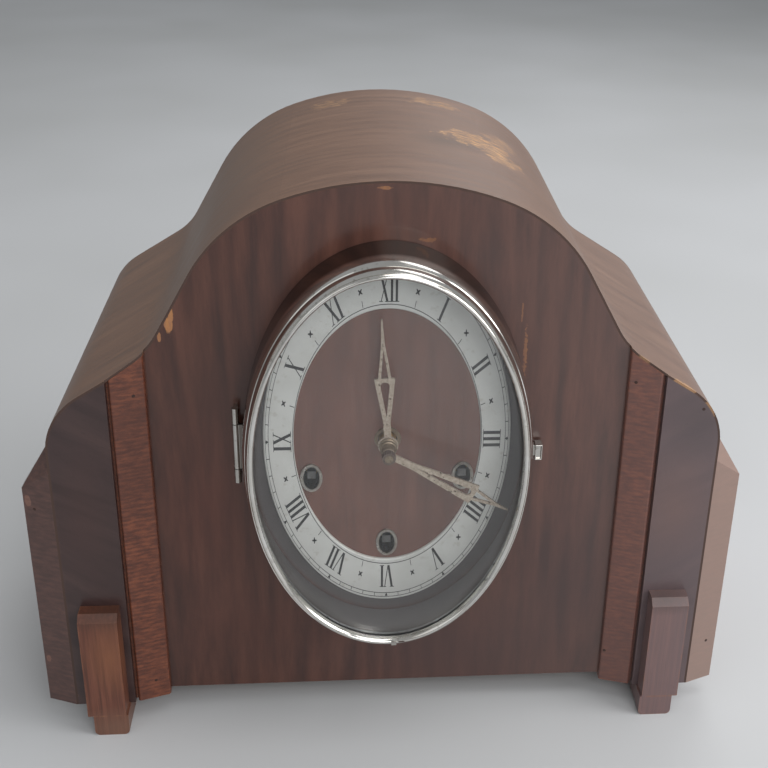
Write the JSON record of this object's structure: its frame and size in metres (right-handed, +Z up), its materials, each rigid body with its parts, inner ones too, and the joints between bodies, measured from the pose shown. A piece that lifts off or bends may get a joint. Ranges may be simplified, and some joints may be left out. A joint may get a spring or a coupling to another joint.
{
  "type": "mantel clock",
  "caption": "Arched wooden mantel clock with an oval hinged glass bezel, chapter ring, hands, movement with pendulum and chime rods, and a hinged back door.",
  "frame": {"origin": "middle of the overall box in X and Y, at the bottom of the feet", "axes": "+X to the clock's right as seen from the front, -Y out of the dial towards the viewer, +Z up"},
  "size_m": [0.2572, 0.1504, 0.2146],
  "materials": {
    "top_veneer": "worn satin",
    "panel_wood": "satin",
    "strip_wood": "satin",
    "column_wood": "satin",
    "wing_wood": "satin",
    "foot_wood": "satin",
    "carcass_wood": "matte",
    "chrome": "polished",
    "silvered": "satin",
    "glass": "clear",
    "hand_metal": "satin",
    "brass": "satin",
    "steel": "satin",
    "iron": "matte"
  },
  "bodies": {
    "case": {"front_board": "panel_wood", "left_strip": "strip_wood", "right_strip": "strip_wood", "left_column": "column_wood", "right_column": "column_wood", "left_wing": "wing_wood", "right_wing": "wing_wood", "pilasters": "foot_wood", "front_feet": "foot_wood", "rear_feet": "foot_wood", "case_wrap": "carcass_wood", "top_veneer": "top_veneer", "bottom_board": "carcass_wood", "back_frame": "carcass_wood", "door_hinge_leaves": "brass", "door_hinge_pins": "steel", "chapter_ring": "silvered", "winding_eyelets": "chrome", "bezel_hinge_leaf": "chrome", "bezel_hinge_pin": "chrome", "front_plate": "brass", "back_plate": "brass", "plate_pillars": "steel", "movement_posts": "steel", "pillar_nuts": "steel", "hammer_arbor": "steel", "rod_block": "iron", "rod_block_bolts": "steel", "chime_rods": "steel"},
    "bezel": {"bezel_ring": "chrome", "glass": "glass", "glass_retainer": "steel", "bezel_tab": "chrome", "bezel_hinge_strap": "chrome"},
    "back_door": {"back_door": "carcass_wood", "door_knob": "brass", "door_hinge_straps": "brass"},
    "minute_works": {"minute_hand": "hand_metal", "hand_nut": "hand_metal", "cannon_pinion": "steel"},
    "centre_wheel": {"centre_arbor": "steel", "centre_wheel": "brass"},
    "hour_works": {"hour_hand": "hand_metal", "hour_wheel": "brass"},
    "minute_wheel": {"minute_wheel": "brass"},
    "second_wheel": {"second_wheel": "brass"},
    "third_wheel": {"third_wheel": "brass"},
    "escape_wheel": {"escape_wheel": "brass"},
    "time_barrel": {"time_barrel": "brass"},
    "strike_barrel": {"strike_barrel": "brass"},
    "chime_barrel": {"chime_barrel": "brass"},
    "time_winder": {"time_winding_arbor": "steel"},
    "strike_winder": {"strike_winding_arbor": "steel"},
    "chime_winder": {"chime_winding_arbor": "steel"},
    "pendulum": {"anchor": "steel", "pendulum": "brass"},
    "hammer_1": {"hammer_1": "brass"},
    "hammer_2": {"hammer_2": "brass"},
    "hammer_3": {"hammer_3": "brass"},
    "hammer_4": {"hammer_4": "brass"}
  },
  "joints": [
    {"name": "bezel_swing", "type": "hinge", "parent": "case", "child": "bezel", "pos_m": [-0.0537, -0.053, 0.1195], "axis": [0, 0, -1], "range_deg": [0, 100]},
    {"name": "back_door_swing", "type": "hinge", "parent": "case", "child": "back_door", "pos_m": [0.05965, 0.0683, 0.102], "axis": [0, 0, -1], "range_deg": [0, 110]},
    {"name": "minute_turn", "type": "hinge", "parent": "case", "child": "minute_works", "pos_m": [-0.0011, -0.0498, 0.1195], "axis": [0, 1, 0], "continuous": true},
    {"name": "hour_turn", "type": "hinge", "parent": "case", "child": "hour_works", "pos_m": [-0.0011, -0.0498, 0.1195], "axis": [0, 1, 0], "continuous": true},
    {"name": "minute_wheel_turn", "type": "hinge", "parent": "case", "child": "minute_wheel", "pos_m": [-0.0011, -0.0498, 0.1345], "axis": [0, 1, 0], "continuous": true},
    {"name": "centre_wheel_turn", "type": "hinge", "parent": "case", "child": "centre_wheel", "pos_m": [-0.0011, 0, 0.1195], "axis": [0, 1, 0], "continuous": true},
    {"name": "second_wheel_turn", "type": "hinge", "parent": "case", "child": "second_wheel", "pos_m": [-0.0011, 0, 0.1], "axis": [0, 1, 0], "continuous": true},
    {"name": "third_wheel_turn", "type": "hinge", "parent": "case", "child": "third_wheel", "pos_m": [0.01154, 0, 0.13011], "axis": [0, 1, 0], "continuous": true},
    {"name": "escape_wheel_turn", "type": "hinge", "parent": "case", "child": "escape_wheel", "pos_m": [0.00006, 0, 0.13621], "axis": [0, 1, 0], "continuous": true},
    {"name": "time_barrel_turn", "type": "hinge", "parent": "case", "child": "time_barrel", "pos_m": [-0.0011, 0, 0.076], "axis": [0, 1, 0], "continuous": true},
    {"name": "strike_barrel_turn", "type": "hinge", "parent": "case", "child": "strike_barrel", "pos_m": [-0.0281, 0, 0.1041], "axis": [0, 1, 0], "continuous": true},
    {"name": "chime_barrel_turn", "type": "hinge", "parent": "case", "child": "chime_barrel", "pos_m": [0.0259, 0, 0.1041], "axis": [0, 1, 0], "continuous": true},
    {"name": "time_winding", "type": "hinge", "parent": "case", "child": "time_winder", "pos_m": [-0.0011, 0, 0.076], "axis": [0, 1, 0], "continuous": true},
    {"name": "strike_winding", "type": "hinge", "parent": "case", "child": "strike_winder", "pos_m": [-0.0281, 0, 0.1041], "axis": [0, 1, 0], "continuous": true},
    {"name": "chime_winding", "type": "hinge", "parent": "case", "child": "chime_winder", "pos_m": [0.0259, 0, 0.1041], "axis": [0, 1, 0], "continuous": true},
    {"name": "pendulum_swing", "type": "hinge", "parent": "case", "child": "pendulum", "pos_m": [0.00006, 0, 0.14871], "axis": [0, 1, 0], "range_deg": [-4, 4]},
    {"name": "hammer_1_lift", "type": "hinge", "parent": "case", "child": "hammer_1", "pos_m": [-0.0251, 0.0322, 0.057], "axis": [0, -1, 0], "range_deg": [0, 18]},
    {"name": "hammer_2_lift", "type": "hinge", "parent": "case", "child": "hammer_2", "pos_m": [-0.0251, 0.0387, 0.057], "axis": [0, -1, 0], "range_deg": [0, 18]},
    {"name": "hammer_3_lift", "type": "hinge", "parent": "case", "child": "hammer_3", "pos_m": [-0.0251, 0.0452, 0.057], "axis": [0, -1, 0], "range_deg": [0, 18]},
    {"name": "hammer_4_lift", "type": "hinge", "parent": "case", "child": "hammer_4", "pos_m": [-0.0251, 0.0517, 0.057], "axis": [0, -1, 0], "range_deg": [0, 18]}
  ],
  "couplings": [
    {"joint": "hour_turn", "follows": "minute_turn", "ratio": 0.083333},
    {"joint": "minute_wheel_turn", "follows": "minute_turn", "ratio": -0.33333},
    {"joint": "third_wheel_turn", "follows": "escape_wheel_turn", "ratio": -0.18182},
    {"joint": "centre_wheel_turn", "follows": "escape_wheel_turn", "ratio": 0.032468},
    {"joint": "second_wheel_turn", "follows": "escape_wheel_turn", "ratio": -0.0071023},
    {"joint": "time_barrel_turn", "follows": "escape_wheel_turn", "ratio": 0.0010146}
  ]
}
